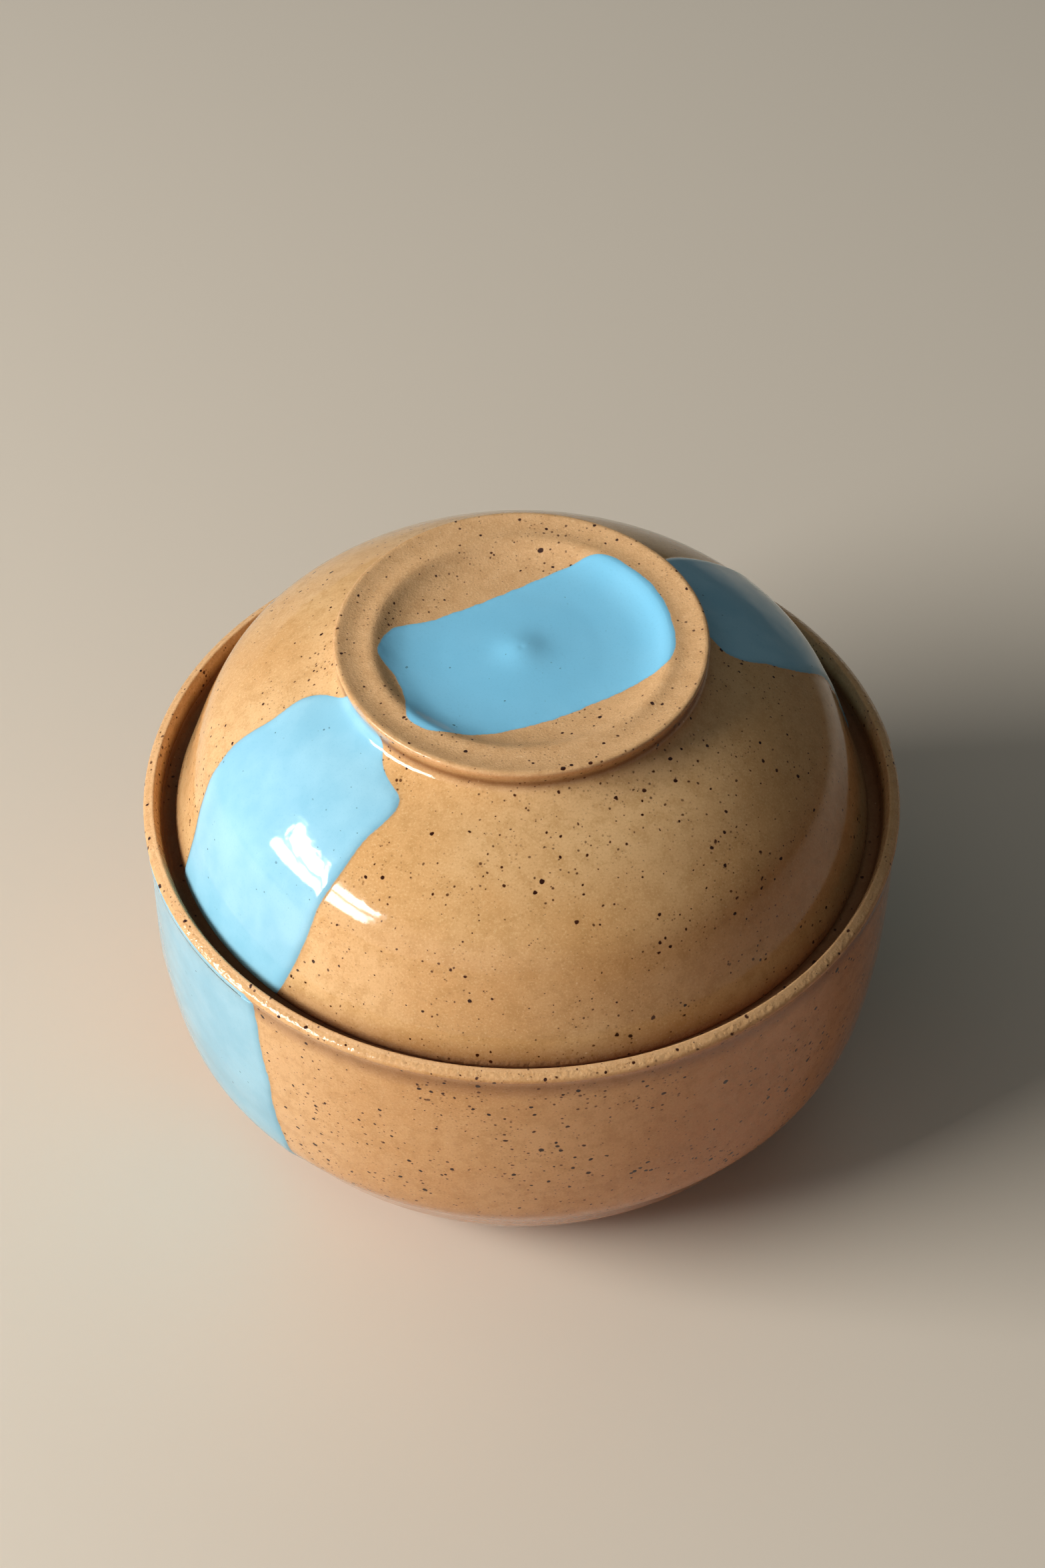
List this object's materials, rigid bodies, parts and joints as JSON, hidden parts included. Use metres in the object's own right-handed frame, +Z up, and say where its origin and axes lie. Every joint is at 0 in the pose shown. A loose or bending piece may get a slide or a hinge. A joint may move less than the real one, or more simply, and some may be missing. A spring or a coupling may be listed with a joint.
{
  "type": "lidded bowl",
  "caption": "Round thrown stoneware bowl on a foot ring, with a domed lid that sits on a seat inside the flared rim and is lifted by the trimmed ring on its top.",
  "frame": {"origin": "centre of the foot ring's underside, on the table", "axes": "+Z up through the middle of the bowl and the lid; -Y faces the picture's camera; the blue patch on the bowl's wall is on -X"},
  "size_m": [0.17, 0.17, 0.1307],
  "materials": {
    "bowl_glaze": "clear gloss glaze over warm tan speckled clay, with a light blue glaze patch and a bare matt rim",
    "lid_glaze": "clear gloss glaze over warm tan speckled clay, with light blue glaze patches and a bare matt ring"
  },
  "bodies": {
    "bowl": {"bowl": "bowl_glaze"},
    "lid": {"lid": "lid_glaze"}
  },
  "joints": [
    {"name": "lid_lift", "type": "slide", "parent": "bowl", "child": "lid", "axis": [0, 0, 1], "range_m": [0, 0.08]}
  ]
}
